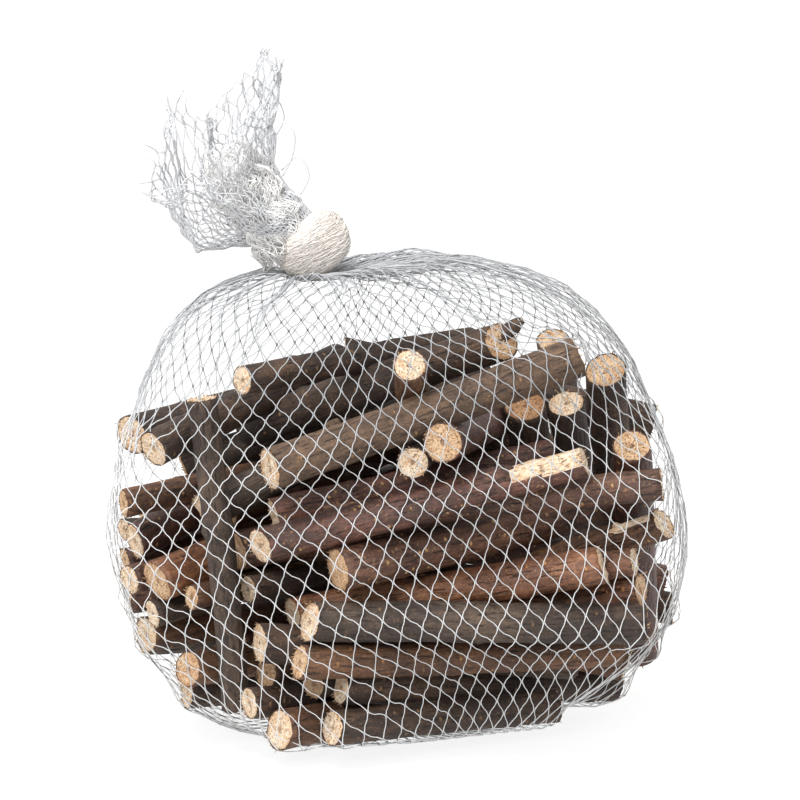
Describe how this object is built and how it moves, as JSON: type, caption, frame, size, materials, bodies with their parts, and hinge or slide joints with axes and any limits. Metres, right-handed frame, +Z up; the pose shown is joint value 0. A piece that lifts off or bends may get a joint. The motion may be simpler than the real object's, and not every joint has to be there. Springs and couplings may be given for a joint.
{
  "type": "bundle of twigs",
  "caption": "Bundle of short cut twigs lying crosswise in a knotted bag of open white netting that spreads into a loose tail above the knot.",
  "frame": {"origin": "middle of the bounding box's underside, on the surface the bag stands on", "axes": "+X to the right and +Y away from the side with the most cut ends, +Z up through the bag to the loose end of its netting"},
  "size_m": [0.185, 0.1318, 0.2104],
  "materials": {
    "bark": "rough bark with pale cut ends",
    "netting": "soft knotless twisted thread, slightly shiny"
  },
  "bodies": {
    "root": {"twig_front_01": "bark", "twig_front_02": "bark", "twig_front_03": "bark", "twig_front_04": "bark", "twig_front_05": "bark", "twig_front_06": "bark", "twig_front_07": "bark", "twig_front_08": "bark", "twig_front_09": "bark", "twig_front_10": "bark", "twig_front_11": "bark", "twig_front_12": "bark", "twig_left_01": "bark", "twig_left_02": "bark", "twig_left_03": "bark", "twig_left_04": "bark", "twig_left_05": "bark", "twig_left_06": "bark", "twig_left_07": "bark", "twig_left_08": "bark", "twig_left_09": "bark", "twig_left_10": "bark", "twig_left_11": "bark", "twig_left_12": "bark", "twig_left_13": "bark", "twig_left_14": "bark", "twig_left_15": "bark", "twig_low_01": "bark", "twig_low_02": "bark", "twig_low_03": "bark", "twig_low_04": "bark", "twig_low_05": "bark", "twig_low_06": "bark", "twig_low_07": "bark", "twig_low_08": "bark", "twig_upright_01": "bark", "twig_upright_02": "bark", "twig_upright_03": "bark", "twig_upright_04": "bark", "twig_upright_05": "bark", "twig_upright_06": "bark", "twig_top_01": "bark", "twig_top_02": "bark", "twig_top_03": "bark", "twig_top_04": "bark", "twig_behind_01": "bark", "twig_behind_02": "bark", "twig_back_01": "bark", "twig_back_02": "bark", "twig_back_03": "bark", "twig_back_04": "bark", "twig_back_05": "bark", "twig_back_06": "bark", "twig_back_07": "bark", "twig_back_08": "bark", "twig_back_09": "bark", "twig_back_10": "bark", "net_pouch": "netting", "net_knot": "netting", "net_tail": "netting"}
  },
  "joints": []
}
